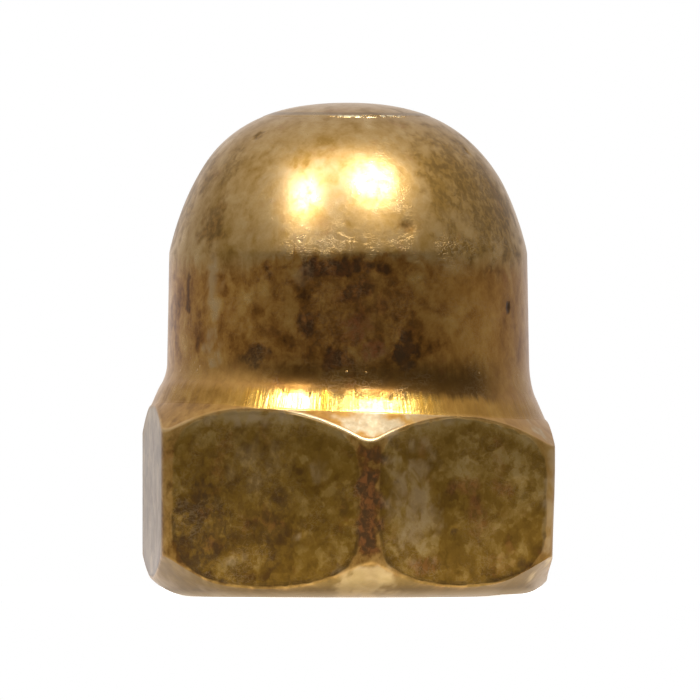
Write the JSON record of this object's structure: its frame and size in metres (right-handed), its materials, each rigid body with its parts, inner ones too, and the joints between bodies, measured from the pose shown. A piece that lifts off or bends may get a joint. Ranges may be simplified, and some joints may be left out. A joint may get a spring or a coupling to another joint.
{
  "type": "cap nut",
  "caption": "Domed cap nut: a hexagon with a rounded seat and chamfered corners, a short neck and a closed dome over a blind threaded hole.",
  "frame": {"origin": "middle of the flat seat, on the screw's axis", "axes": "+Z along the screw's axis from the seat to the dome; two flats of the hexagon face +X and -X, and two corners point along +Y and -Y"},
  "size_m": [0.008, 0.0092, 0.01],
  "materials": {
    "brass": "turned brass, dulled and mottled with olive and brown tarnish"
  },
  "bodies": {
    "root": {"cap_nut": "brass"}
  },
  "joints": []
}
